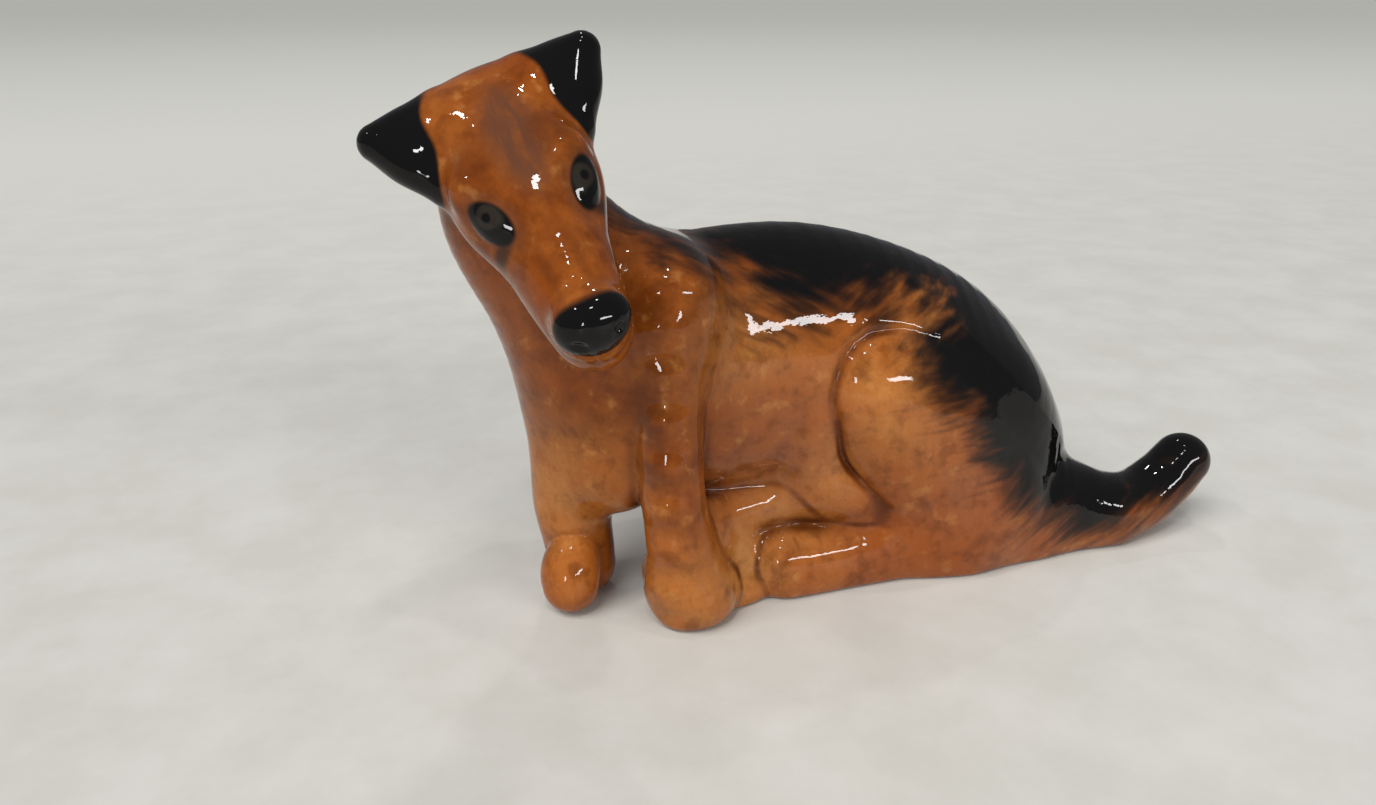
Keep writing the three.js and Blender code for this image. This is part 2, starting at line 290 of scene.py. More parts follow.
def eye_axes(side):
    """Along the lids towards the nose, up across them, and out of the head."""
    along = np.array(EYE_LENGTHS[side])
    out = np.array(EYE_OUT[side])
    out -= along * (along @ out) / (along @ along)
    out /= np.linalg.norm(out)
    along /= np.linalg.norm(along)
    return np.array([along, side * np.cross(along, out), out], np.float32)


def eye_place(p, side):
    return (p - np.array(EYE_CENTRES[side], np.float32)) @ eye_axes(side).T


def eyeball(side):
    lens = egg([0, 0, -1.0], [2.75, 1.8, 1.0])
    return lambda p: lens(eye_place(p, side))


def socket(side):
    dent = egg([0, 0.1, 1.1], [3.4, 2.5, 1.6])
    return lambda p: dent(eye_place(p, side))


def nostril(side):
    return egg([25.0, side * 2.3, 0.1], [0.9, 0.9, 0.55])


bare_head = melt(2.5, skull, brow, melt(1.5, muzzle, chin))
bare_head = less(2.0, bare_head, melt(0.3, socket(1), socket(-1)))
bare_head = melt(0.5, melt(1.5, bare_head, nose_pad), eyeball(1), eyeball(-1))
head = on_head(less(0.5, bare_head, melt(0.3, nostril(1), nostril(-1))))


def button_ear(side, fold_tip):
    """The flap folds forward, and the pinna behind it slopes back to the skull."""
    tip_forward, tip_left, tip_up = fold_tip
    flap = mirrored([(-5.3, 4.9, 2.9), (2.4, 7.0, 1.4), (tip_forward, tip_left - 0.5, tip_up - 0.2)], side)
    pinna = mirrored([(-5.4, 4.8, 2.1), (tip_forward, tip_left - 2.1, tip_up - 0.9), (-2.5, 6, -1)], side)
    swell = egg([-2.5, side * 8.0, 2.7], [4.3, 3.3, 2.1])
    return on_head(melt(1.5, slab(flap, FLAP_THICKNESS), slab(pinna, PINNA_THICKNESS), swell))


straight_leg = melt(
    4,
    roll([[-21.5, -8.6, 38, 4.2], [-22.4, -9.9, 31, 3.8], [-22.6, -10.6, 24, 3.6], [-22.3, -10.7, 16, 3.6],
          [-21.4, -10.6, 9.5, 3.9], [-20.6, -10.2, 4.6, 4.8]]),
    egg([-22, -5.4, 34], [4.8, 4.6, 9]),
    egg([-18.9, -9.4, 2.4], [4.2, 3.9, 3.2]),
)
left_foreleg = rippled(straight_leg, line=(-24.4, -14), reach=2.0, pitch=5.2, height=0.3)
right_foreleg = grooved(
    roll([[-29.5, 1, 27, 5], [-31, 0.5, 20, 4.5], [-31.6, 0.2, 13, 4.3], [-30.8, 0.2, 7.5, 4.2],
          [-30.3, 0.3, 3.5, 4]]),
    roll([[-31.6, -1.9, 7.0, 3.2], [-32.6, -3.4, 4.7, 3.5], [-32.8, -4.1, 3.3, 3.3]]),
    width=0.8,
    depth=0.35,
    reach=0.5,
)
left_haunch = melt(
    6,
    egg([6, -8.6, 21.5], [12.5, 6.5, 8.6], math.radians(50)),
    egg([15.5, -6.8, 12.5], [13, 7.2, 15]),
)
right_haunch = melt(4, egg([13, 5.4, 13], [13, 9, 11.5]), egg([1, 5, 8.5], [10, 7, 7.6]))
left_hind_foot = melt(
    3,
    roll([[22, -6.8, 6, 5.5], [14, -7.7, 5.6, 4.7], [6, -8.0, 5.2, 4.1], [0, -7.7, 4.4, 3.6],
          [-4, -7.9, 4.2, 3.6], [-7.8, -7.8, 4.3, 3.8]]),
    roll([[24, -6.6, 2.6, 4.6], [12, -7.8, 2, 3.8], [-7, -7.7, 1.6, 3.3]]),
)
right_hind_foot = melt(
    1.5,
    roll([[8, -3, 11, 3.2], [0, -5.0, 11.2, 3.2], [-7, -5.2, 11, 3.2], [-12.5, -5.6, 10.6, 3.2],
          [-17.5, -6.4, 10.2, 3.2], [-21, -8.4, 9.6, 2.6]]),
    roll([[6, -2, 4, 4], [-6, -3.5, 4, 4], [-15, -4.5, 4, 4]]),
    egg([-16.5, -5.8, 4.0], [8, 4.2, 7]),
    egg([-17.6, -8.2, 6.5], [3.2, 2.8, 7.5]),
    egg([-14.5, -8.0, 1.2], [5, 3.0, 2.6]),
)
tail = melt(
    1.5,
    roll([[30, -6.6, 6, 6], [37, -8.9, 4.2, 4.8], [42.5, -9.5, 4.2, 4.3], [47.3, -9.2, 6.5, 3.9],
          [50.2, -9, 9, 3.65]], 12),
    roll([[24, -6.2, 3, 5], [31, -7.8, 2.6, 4.9], [38, -9.2, 3, 4.6]], 12),
)

MASSES = {
    "torso_shell": torso,
    "head_shell": head,
    "left_ear": button_ear(1, (-4, 11.3, 4.2)),
    "right_ear": button_ear(-1, (-3.6, 11.6, 4.2)),
    "left_foreleg": left_foreleg,
    "right_foreleg": right_foreleg,
    "left_haunch": left_haunch,
    "right_haunch": right_haunch,
    "left_hind_foot": left_hind_foot,
    "right_hind_foot": right_hind_foot,
    "tail": tail,
}
MASSES = {name: bounded(mass) for name, mass in MASSES.items()}
SLOTS = {
    "torso_shell": "saddle_glaze",
    "head_shell": "face_glaze",
    "left_ear": "ear_glaze",
    "right_ear": "ear_glaze",
    "left_foreleg": "leg_glaze",
    "right_foreleg": "leg_glaze",
    "left_haunch": "haunch_glaze",
    "right_haunch": "haunch_glaze",
    "left_hind_foot": "foot_glaze",
    "right_hind_foot": "foot_glaze",
    "tail": "tail_glaze",
}


def ramp(value, low, high):
    return np.clip((value - low) / (high - low), 0, 1)


def figure(p):
    """The whole figure: every mass melted into its neighbours, cut flat at the floor, with its vent."""
    value = {name: mass(p) for name, mass in MASSES.items()}
    x, y, z = p.T
    apart = value["torso_shell"] - value["left_haunch"]
    hip = ramp(x + z, 35, 45)
    body = blend(value["torso_shell"], value["left_haunch"], MELT["haunch_front"] + MELT["haunch_top"] * hip)
    body += HAUNCH_GROOVE_DEPTH * (1 - hip) * np.exp(-(apart / HAUNCH_GROOVE_REACH) ** 2)
    body = blend(body, value["right_haunch"], MELT["right_haunch"])
    shoulder = ramp(z, 27, 36)
    body = blend(body, value["left_foreleg"], MELT["left_foreleg"] + MELT["shoulder"] * shoulder)
    body = blend(body, value["right_foreleg"], MELT["right_foreleg"])
    body = blend(body, value["tail"], MELT["tail"])
    feet = blend(value["left_hind_foot"], value["right_hind_foot"], MELT["feet"])
    groin_fold = np.exp(-((x + 1) ** 2 + (z - 13) ** 2) / 50)
    soft = np.maximum(ramp(x, 4, 16), 0.6 * groin_fold)
    body = blend(body, feet, MELT["feet"] + MELT["rump_to_feet"] * soft)
    face = blend(value["head_shell"], value["left_ear"], MELT["ears"])
    face = blend(face, value["right_ear"], MELT["ears"])
    body = blend(body, face, MELT["head"])
    body = -blend(-body, z, MELT["floor_edge"])
    vent = np.maximum(np.hypot(x - VENT_AT[0], y - VENT_AT[1]) - VENT_RADIUS, z - VENT_DEPTH)
    return -blend(-body, vent, MELT["vent_edge"])


# ---- The skin: a mesh of the figure's zero surface ----


def in_batches(field, points, size=300000):
    return np.concatenate([field(points[i:i + size]) for i in range(0, len(points), size)])


def sampled(field, cell):
    """The field's values on a grid, exact near the skin and coarse elsewhere."""
    coarseness = 4
    safety = 1.3
    count = np.ceil((SEARCH_HIGH - SEARCH_LOW) / cell).astype(int) + 1
    coarse_count = count // coarseness + 2
    coarse = np.argwhere(np.ones(coarse_count, bool))
    rough = in_batches(field, (SEARCH_LOW + coarse * coarseness * cell).astype(np.float32))
    rough = rough.reshape(coarse_count)
    pick = [(np.arange(n) + coarseness // 2) // coarseness for n in count]
    values = rough[np.ix_(*pick)]
    near = np.argwhere(np.abs(values) < cell * coarseness * safety)
    values[tuple(near.T)] = in_batches(field, (SEARCH_LOW + near * cell).astype(np.float32))
    return values


def surface_net(field, cell):
    """Vertices and quads of the zero surface: one vertex per grid cell that the skin passes through."""
    values = sampled(field, cell)
    cells = np.array(values.shape) - 1
    total = np.zeros((*cells, 3), np.float32)
    crossings = np.zeros(tuple(cells), np.int16)
    quads = []
    for axis in range(3):
        low, high = np.delete(np.arange(3), axis)
        if axis == 1:
            low, high = high, low
        near = np.moveaxis(values, axis, 0)[:-1]
        far = np.moveaxis(values, axis, 0)[1:]
        cross = np.moveaxis((near < 0) != (far < 0), 0, axis)
        near, far = np.moveaxis(near, 0, axis)[cross], np.moveaxis(far, 0, axis)[cross]
        edges = np.argwhere(cross)
        points = edges.astype(np.float32)
        points[:, axis] += near / (near - far)
        corners = []
        for step_low, step_high in ((-1, -1), (0, -1), (0, 0), (-1, 0)):
            owner = edges.copy()
            owner[:, low] += step_low
            owner[:, high] += step_high
            np.add.at(total, tuple(owner.T), points)
            np.add.at(crossings, tuple(owner.T), 1)
            corners.append(np.ravel_multi_index(tuple(owner.T), tuple(cells)))
        quad = np.stack(corners, 1)
        quad[near > 0] = quad[near > 0][:, ::-1]
        quads.append(quad)
    quads = np.concatenate(quads)
    used, quads = np.unique(quads, return_inverse=True)
    vertices = total.reshape(-1, 3)[used] / crossings.reshape(-1)[used][:, None]
    return (SEARCH_LOW + vertices * cell).astype(np.float32), quads.reshape(-1, 4)


def slope(field, points, step=0.05):
    """The field's gradient, from the four corners of a small tetrahedron."""
    corners = np.array([[1, -1, -1], [-1, -1, 1], [-1, 1, -1], [1, 1, 1]], np.float32)
    return sum(corner * in_batches(field, points + corner * step)[:, None] for corner in corners) / (4 * step)


def settled(field, points, rounds=2):
    """The points moved onto the zero surface, by steps that stay short where the field is nearly level."""
    gentlest = 0.05
    for _ in range(rounds):
        gradient = slope(field, points)
        steepness = np.maximum((gradient * gradient).sum(1), gentlest)
        points = points - gradient * (in_batches(field, points) / steepness)[:, None]
    return points.astype(np.float32)


def shared_edges(faces):
    """The number of each quad's four edges, and the two quads at each edge that two of them share."""
    ends = np.sort(np.stack([faces, np.roll(faces, -1, axis=1)], axis=2), axis=2)
    keys = ends[..., 0].astype(np.int64) * (faces.max() + 1) + ends[..., 1]
    edges = np.unique(keys, return_inverse=True)[1].reshape(faces.shape)
    owners = np.argsort(edges.ravel(), kind="stable") // 4
    keyed = np.sort(edges.ravel())
    paired = keyed[1:] == keyed[:-1]
    return edges, owners[:-1][paired], owners[1:][paired]


def islands(edges, label, count):
    """For each quad, the number of the connected island of equal labels that it lies on."""
    island = np.arange(len(edges))
    while True:
        lowest = np.full((edges.max() + 1, count), len(edges))
        np.minimum.at(lowest, (edges, label[:, None]), island[:, None])
        joined = lowest[edges, label[:, None]].min(1)
        if (joined == island).all():
            return island
        island = joined[joined]


def main_patches(faces, label, count):
    """Each piece keeps its largest patch of skin, and smaller islands join the piece round them."""
    rounds = 8
    settled_vote = 1000
    edges, first, second = shared_edges(faces)
    for _ in range(rounds):
        island = islands(edges, label, count)
        sizes = np.bincount(island, minlength=len(faces))
        largest = np.array([sizes[island[label == i]].max(initial=0) for i in range(count)])
        stray = sizes[island] < largest[label]
        if not stray.any():
            break
        votes = np.zeros((len(faces), count), int)
        for a, b in ((first, second), (second, first)):
            border = island[a] != island[b]
            weight = np.where(stray[b[border]], 1, settled_vote)
            np.add.at(votes, (island[a[border]], label[b[border]]), weight)
        label[stray] = votes[island[stray]].argmax(1)
    return label


# ---- Paint: where each colour lies, as fields on the skin in millimetres ----

# The saddle's lower edge, from the nape along the flank, round the haunch and down the tail, in X and Z.
# The two corners of SADDLE_TOP close it high above the figure.
SADDLE_EDGE = [
    (-33, 60), (-28, 48.5), (-24.6, 44.6), (-21, 42.6), (-17, 40.6), (-13, 39.0), (-12, 36.6), (-8.8, 35),
    (-3, 34.4), (2, 34.6), (7, 34.8), (11.5, 33.8), (8, 32.4), (5.2, 28), (6.8, 24.5), (12, 21.8),
    (13.5, 18), (17, 13.5), (20.5, 8.6), (24, 6.2), (29, 4.6), (33, 2.4), (37, 2.8), (45, 4.6),
    (52, 7.2), (60, 9.5),
]
SADDLE_TOP = [(60, 90), (-33, 90)]

# Where each way of brushing is strongest, in X and Z: flank, hip, haunch and rump. The strokes' own
# directions there, as turns about Y.
STROKE_CENTRES = [(-14, 38), (9, 34), (10, 22), (30, 10)]
STROKE_REACH = 4.5
STROKE_TILTS = (math.radians(-30), math.radians(26), math.radians(2), math.radians(34))


def saddle_depth(p):
    """How far a point lies inside the saddle's edge, negative outside it."""
    corners = np.array(SADDLE_EDGE + SADDLE_TOP, np.float32)
    x, z = p[:, 0], p[:, 2]
    nearest = np.full(len(p), np.inf, np.float32)
    inside = np.zeros(len(p), bool)
    last = len(SADDLE_EDGE) - 1
    for i, (a, b) in enumerate(zip(corners, np.roll(corners, -1, axis=0))):
        line = b - a
        if i < last:
            along = np.clip(((x - a[0]) * line[0] + (z - a[1]) * line[1]) / (line @ line), 0, 1)
            gap = np.hypot(x - a[0] - along * line[0], z - a[1] - along * line[1])
            nearest = np.minimum(nearest, gap)
        if a[1] != b[1]:
            between = (a[1] > z) != (b[1] > z)
            inside ^= between & (x < a[0] + (z - a[1]) / line[1] * line[0])
    return np.where(inside, nearest, -nearest)


def stroke_weights(p):
    """How much each way of brushing shows at a point: flank, hip, haunch and rump."""
    gap = ((p[:, None, [0, 2]] - np.array(STROKE_CENTRES, np.float32)) ** 2).sum(2)
    weight = np.exp(-gap / (2 * STROKE_REACH**2)) + 1e-9
    return weight / weight.sum(1, keepdims=True)


# Soft washes of colour: where each blot is strongest, how far it reaches, how strong it is. The deep wash
# is painted shade on the neck under the head, the chest, shoulder, foreleg and belly. The gold wash is
# partly the glaze's golden tone, partly painted highlight and painted floor reflection on the haunch,
# flank, groin, legs and feet. The pink wash lies low on the haunch, rump, tail and feet, and on the belly.
WASHES = {
    # Painted shade.
    "painted_shade": [
        ((-33, -10, 50), 12, 0.75), ((-21, -10, 36), 9, 0.9), ((-22, -14, 24), 8, 0.8),
        ((-30, -6, 31), 8, 1.0), ((-13, -10, 20), 5, 0.5),
    ],
    # Golden tone, with painted highlight and painted floor reflection.
    "gold_and_sheen": [
        ((2, -15, 25), 6, 0.6), ((-32, -5, 6), 6, 0.2), ((-8, -6, 11), 5, 0.8), ((-15, -9, 5), 4.5, 1.0),
        ((-4, -10, 17), 4, 0.8), ((-20, -14, 4), 5, 0.5), ((-14, -11, 33), 5, 0.5), ((-34, -3, 16), 6, 0.6),
        ((10, -12, 33), 5, 0.7),
    ],
    "pink": [
        ((14, -15, 14), 7, 0.8), ((25, -12, 7), 8, 0.9), ((38, -13, 3), 8, 0.8), ((-9, -9, 19), 6, 0.9),
        ((-36, 4, 40), 6, 0.5), ((4, -12, 5), 8, 0.35),
    ],
}


def wash(p, blots):
    """How strongly a wash shows at a point. The blots are mirrored to the dog's other side."""
    strength = np.zeros(len(p), np.float32)
    for centre, reach, amount in blots:
        for side in (1, -1):
            off = p - np.array([centre[0], centre[1] * side, centre[2]], np.float32)
            strength = np.maximum(strength, amount * np.exp(-(off * off).sum(1) / (2 * reach**2)))
    return strength


def crease_distance(p):
    """Roughly how far a point lies from a crisp fold between two masses."""
    far = 4
    values = np.sort(np.stack([mass(p) for mass in MASSES.values()]), axis=0)
    x, z = p[:, 0], p[:, 2]
    hip = ramp(x + z, 36, 44) * ramp(x, -8, 0)
    shoulder = ramp(z, 26, 34) * ramp(x, -4, -10)
    chest = ramp(x, -24, -28)
    rump = ramp(x, 4, 16) * ramp(z, 12, 8)
    return values[1] - values[0] + far * (hip + shoulder + chest + rump)


def painted_fields(p, normal):
    """Every field that the glaze reads, one value for each point of the skin."""
    bare_neck = 1.5
    hollow_reach = 1.2
    ear_joint = 6
    face = MASSES["head_shell"](p)
    ears = np.minimum(MASSES["left_ear"](p), MASSES["right_ear"](p))
    head_place = head_coordinates(p)
    eye = np.where(head_place[:, 1:2] > 0, eye_place(head_place, 1), eye_place(head_place, -1))
    return {
        "place": p,
        "face_place": head_place,
        "eye": eye,
        "saddle": np.minimum(saddle_depth(p), 4 * (np.minimum(face, ears) - bare_neck)),
        "strokes": stroke_weights(p),
        "washes": np.column_stack([wash(p, blots) for blots in WASHES.values()]),
        "ear": np.where(ears < ear_joint, (face - ears) / 2, -ear_joint / 2),
        "nose": -nose_paint(p),
        "crease": crease_distance(p),
        # How closed in a point is by nearby clay, for the painted shade in hollows.
        "hollow_shade": hollow_reach - in_batches(figure, (p + hollow_reach * normal).astype(np.float32)),
    }


# ---- Pieces ----


def closed_patch(faces, normal_of, points):
    """The patch's quads, with each run of open edges closed by a cone that points inward."""
    edges = np.concatenate([faces[:, [i, (i + 1) % 4]] for i in range(4)])
    size = len(points)
    forward_key = edges[:, 0] * size + edges[:, 1]
    backward_key = edges[:, 1] * size + edges[:, 0]
    rim = edges[~np.isin(forward_key, backward_key)]
    group = np.arange(size)
    while True:
        lowest = np.minimum(group[rim[:, 0]], group[rim[:, 1]])
        before = group.copy()
        np.minimum.at(group, rim[:, 0], lowest)
        np.minimum.at(group, rim[:, 1], lowest)
        if (group == before).all():
            break
    centres = []
    caps = []
    for member in np.unique(group[rim]):
        loop = rim[group[rim[:, 0]] == member]
        ring = loop[:, 0]
        centre = points[ring].mean(0) - normal_of[ring].mean(0) * CAP_DEPTH
        apex = np.full(len(loop), size + len(centres))
        caps.append(np.column_stack([loop[:, 1], loop[:, 0], apex]))
        centres.append(centre)
    return np.array(centres), np.concatenate(caps)


def mesh_piece(name, faces, points, normals, fields, shift):
    """One named piece: its patch of the skin, closed inside, with the paint's fields on its vertices."""
    centres, caps = closed_patch(faces, normals, points)
    used, renumbered = np.unique(np.concatenate([faces.ravel(), caps.ravel()]), return_inverse=True)
    count = len(used)
    everything = np.concatenate([points, centres]).astype(np.float32)
    mesh = bpy.data.meshes.new(name)
    mesh.vertices.add(count)
    mesh.vertices.foreach_set("co", ((everything[used] + shift) * MM).astype(np.float32).ravel())
    sides = np.concatenate([np.full(len(faces), 4), np.full(len(caps), 3)])
    mesh.loops.add(len(renumbered))
    mesh.loops.foreach_set("vertex_index", renumbered.astype(np.int32))
    mesh.polygons.add(len(sides))
    mesh.polygons.foreach_set("loop_start", np.concatenate([[0], np.cumsum(sides)[:-1]]).astype(np.int32))
    mesh.polygons.foreach_set("material_index", np.zeros(len(sides), np.int32))
    mesh.update(calc_edges=True)
    skin = used[used < len(points)]
    for key, values in fields.items():
        values = np.asarray(values, np.float32)
        kind = {1: "FLOAT", 3: "FLOAT_VECTOR", 4: "FLOAT_COLOR"}[1 if values.ndim == 1 else values.shape[1]]
        slot = {"FLOAT": "value", "FLOAT_VECTOR": "vector", "FLOAT_COLOR": "color"}[kind]
        stored = np.zeros((count, *values.shape[1:]), np.float32)
        stored[:len(skin)] = values[skin]
        mesh.attributes.new(key, kind, "POINT").data.foreach_set(slot, stored.ravel())
    mesh.shade_smooth()
    flat_normals = [mesh.polygons[i].normal for i in range(len(faces), len(sides))]
    cap_normals = np.repeat(np.array(flat_normals), 3, axis=0)
    skin_normals = normals[faces.ravel()]
    mesh.normals_split_custom_set(np.concatenate([skin_normals, cap_normals.reshape(-1, 3)]).tolist())
    piece = bpy.data.objects.new(name, mesh)
    bpy.context.scene.collection.objects.link(piece)
    return piece


def make_figure():
    names = list(MASSES)
    points, faces = surface_net(figure, CELL)
    points = settled(figure, points)
    points[:, 2] = np.maximum(points[:, 2], 0)
    normals = slope(figure, points)
    normals /= np.linalg.norm(normals, axis=1, keepdims=True)
    centres = points[faces].mean(1)
    label = np.stack([mass(centres) for mass in MASSES.values()]).argmin(0)
    label = main_patches(faces, label, len(names))
    fields = painted_fields(points, normals)
    low, high = points.min(0), points.max(0)
    shift = -np.array([(low[0] + high[0]) / 2, (low[1] + high[1]) / 2, 0], np.float32)
    pieces = {}
    for i, name in enumerate(names):
        pieces[name] = mesh_piece(name + "_glazed", faces[label == i], points, normals, fields, shift)
    return pieces, shift


# ---- Glaze materials ----


def linear(red, green, blue):
    """A colour given by its display values, 0 to 255, as the linear values that a shader takes."""
    shares = [channel / 255 for channel in (red, green, blue)]
    return tuple(s / 12.92 if s <= 0.04045 else ((s + 0.055) / 1.055) ** 2.4 for s in shares) + (1.0,)


class Nodes:
    """Short calls that add nodes to a material and return their output sockets."""

    def __init__(self, material):
        material.use_nodes = True
        self.tree = material.node_tree
        self.tree.nodes.clear()

    def add(self, kind, *inputs, **settings):
        node = self.tree.nodes.new(kind)
        for key, value in settings.items():
            setattr(node, key, value)
        for i, value in enumerate(inputs):
            self.feed(node.inputs[i], value)
        return node

    def feed(self, socket, value):
        if value is None:
            return
        if isinstance(value, bpy.types.NodeSocket):
            self.tree.links.new(value, socket)
        else:
            socket.default_value = value

    def field(self, name, output="Fac"):
        return self.add("ShaderNodeAttribute", attribute_name=name).outputs[output]

    def math(self, operation, *values):
        return self.add("ShaderNodeMath", *values, operation=operation).outputs[0]

    def noise(self, place, scale, detail=2.0, roughness=0.5):
        node = self.add("ShaderNodeTexNoise", place, None, scale, detail, roughness)
        return node.outputs["Fac"]

    def stretched(self, place, tilt, sizes):
        """The place turned about the Y axis by tilt, and divided by sizes in each direction."""
        rotate = self.add("ShaderNodeVectorRotate", place, None, None, tilt, rotation_type="Y_AXIS")
        turned = rotate.outputs[0]
        shares = tuple(1 / size for size in sizes)
        return self.add("ShaderNodeVectorMath", turned, shares, operation="MULTIPLY").outputs[0]

    def ramp(self, value, low, high, start=0.0, end=1.0, curve="SMOOTHSTEP"):
        node = self.add("ShaderNodeMapRange", value, interpolation_type=curve)
        for key, amount in zip(("From Min", "From Max", "To Min", "To Max"), (low, high, start, end)):
            self.feed(node.inputs[key], amount)
        return node.outputs[0]

    def mix(self, amount, first, second, mode="MIX"):
        node = self.add("ShaderNodeMix", data_type="RGBA", blend_type=mode)
        for socket, value in zip([node.inputs[0], node.inputs[6], node.inputs[7]], (amount, first, second)):
            self.feed(socket, value)
        return node.outputs[2]

    def layer(self, share, strength, first, second):
        """The second colour over the first where the share says, at no more than the strength."""
        return self.mix(self.math("MULTIPLY", share, strength), first, second)

    def finish(self, shader):
        out = self.add("ShaderNodeOutputMaterial")
        self.tree.links.new(shader.outputs[0], out.inputs["Surface"])

    def spot(self, place, centre, radii, soft=0.3):
        """1 inside an ellipsoid round the centre, fading to 0 across its edge."""
        shares = tuple(1 / radius for radius in radii)
        off = self.add("ShaderNodeVectorMath", place, centre, operation="SUBTRACT").outputs[0]
        scaled = self.add("ShaderNodeVectorMath", off, shares, operation="MULTIPLY").outputs[0]
        reach = self.add("ShaderNodeVectorMath", scaled, operation="LENGTH").outputs["Value"]
        return self.ramp(reach, 1 + soft, 1 - soft)


TAN = linear(160, 89, 34)
TAN_RED = linear(142, 70, 16)
# Darker tan for the brushed grain, and for the painted shade of the deep wash.
TAN_DEEP_AND_SHADE = linear(98, 44, 6)
# Golden tan for random pale blotches, and for the painted highlight and floor reflection of the gold wash.
TAN_GOLD_AND_SHEEN = linear(182, 124, 66)
TAN_PINK = linear(142, 84, 52)
# Dark umber paint for brows, bridge lines, mouth and the saddle's edge, and painted shade in hollows and
# folds.
UMBER_AND_SHADE = linear(84, 38, 10)
BLACK = linear(13, 12, 12)
BLACK_WARM = linear(58, 34, 20)
SMUDGE = linear(92, 56, 38)
IRIS = linear(42, 35, 29)
EYE_RIM = linear(84, 84, 74)


# How far the brushed edge wanders, in millimetres: the whole edge, the black's and the brown fringe's.
EDGE_WANDER = 6.0
CORE_WANDER = 6.0
FRINGE_WANDER = 14.0
# How long, wide and deep the dabs and the hairs of the brush are.
DAB = (7.0, 3.0, 2.2)
HAIR = (8.0, 1.8, 1.1)

GLAZE_ROUGHNESS = 0.3
ROUGHNESS_SPREAD = 0.06
COAT_ROUGHNESS = 0.02
COAT_IOR = 1.32
GLAZE_RELIEF = 0.00009


def brushing(n, place, shares, size, detail):
    """Noise drawn out along the stroke directions, mixed by each direction's share, around zero."""
    total = None
    for share, tilt in zip(shares, STROKE_TILTS):
        grain = n.noise(n.stretched(place, tilt, size), 1.0, detail, 0.5)
        weighed = n.math("MULTIPLY", grain, share)
        total = weighed if total is None else n.math("ADD", total, weighed)
    return n.math("SUBTRACT", total, 0.5)


def paint_saddle(n, colour, place):
    weights = n.add("ShaderNodeSeparateColor", n.field("strokes", "Color")).outputs
    shares = list(weights[:3]) + [n.field("strokes", "Alpha")]
    dabs = brushing(n, place, shares, DAB, 1.0)
    hairs = brushing(n, place, shares, HAIR, 2.0)
    edge = n.math("MULTIPLY_ADD", dabs, EDGE_WANDER, n.field("saddle"))
    core = n.math("MULTIPLY_ADD", hairs, CORE_WANDER, edge)
    fringe = n.math("MULTIPLY_ADD", hairs, FRINGE_WANDER, edge)
    colour = n.mix(n.ramp(edge, -4.5, 1.5, 0.0, 0.3), colour, UMBER_AND_SHADE)
    colour = n.mix(n.ramp(fringe, -4.0, 4.0, 0.0, 0.8), colour, BLACK_WARM)
    return n.mix(n.ramp(core, -2.5, 4.0), colour, BLACK)


def paint_eyes(n, colour):
    """Halo, lids, tear streak, the iris's pale arc, iris and pupil, in millimetres from the eye's centre."""
    eye = n.field("eye", "Vector")
    halo = n.spot(eye, (0.2, 0, 0), (3.3, 2.4, 3.5), 0.3)
    almond = n.spot(eye, (0, 0, 0), (2.75, 1.75, 3), 0.12)
    tear = n.spot(eye, (2.2, -2.3, 0), (0.9, 2.0, 2), 0.5)
    iris = n.spot(eye, (-0.6, 0.35, 0), (1.15, 1.1, 3), 0.2)
    arc = n.spot(eye, (-0.25, 0.75, 0), (1.3, 0.75, 3), 0.35)
    pupil = n.spot(eye, (-0.6, 0.3, 0), (0.5, 0.48, 3), 0.3)
    colour = n.layer(halo, 0.5, colour, SMUDGE)
    colour = n.layer(tear, 0.95, colour, BLACK_WARM)
    colour = n.mix(almond, colour, BLACK)
    colour = n.layer(arc, 0.2, colour, EYE_RIM)
    colour = n.layer(iris, 0.85, colour, IRIS)
    return n.mix(pupil, colour, BLACK)


def paint_face(n, colour):
    """The forehead's grey smudge, the dark brows, the lines down the bridge and the mouth, in head axes."""
    face = n.field("face_place", "Vector")
    smear = n.noise(n.stretched(face, 0.0, (4.0, 0.9, 2.0)), 1.0, 3.0, 0.6)
    forehead = n.spot(face, (3.8, 1.0, 5), (6.0, 2.6, 9), 0.45)
    smudge = n.math("MULTIPLY", forehead, n.ramp(smear, 0.32, 0.6, 0.6, 1.0))
    colour = n.mix(smudge, colour, SMUDGE)
    for side in (1, -1):
        brow_patch = n.spot(face, (4.6, side * 4.0, 4.9), (2.3, 1.9, 2.2), 0.5)
        colour = n.layer(brow_patch, 0.55, colour, UMBER_AND_SHADE)
        bridge = n.spot(face, (17.5, side * 1.6, 3), (3.4, 0.5, 3), 0.7)
        colour = n.layer(bridge, 0.4, colour, UMBER_AND_SHADE)
    mouth = n.spot(face, (24.5, 0, -3.6), (6.5, 9, 0.35), 0.7)
    return n.layer(mouth, 0.6, colour, UMBER_AND_SHADE)


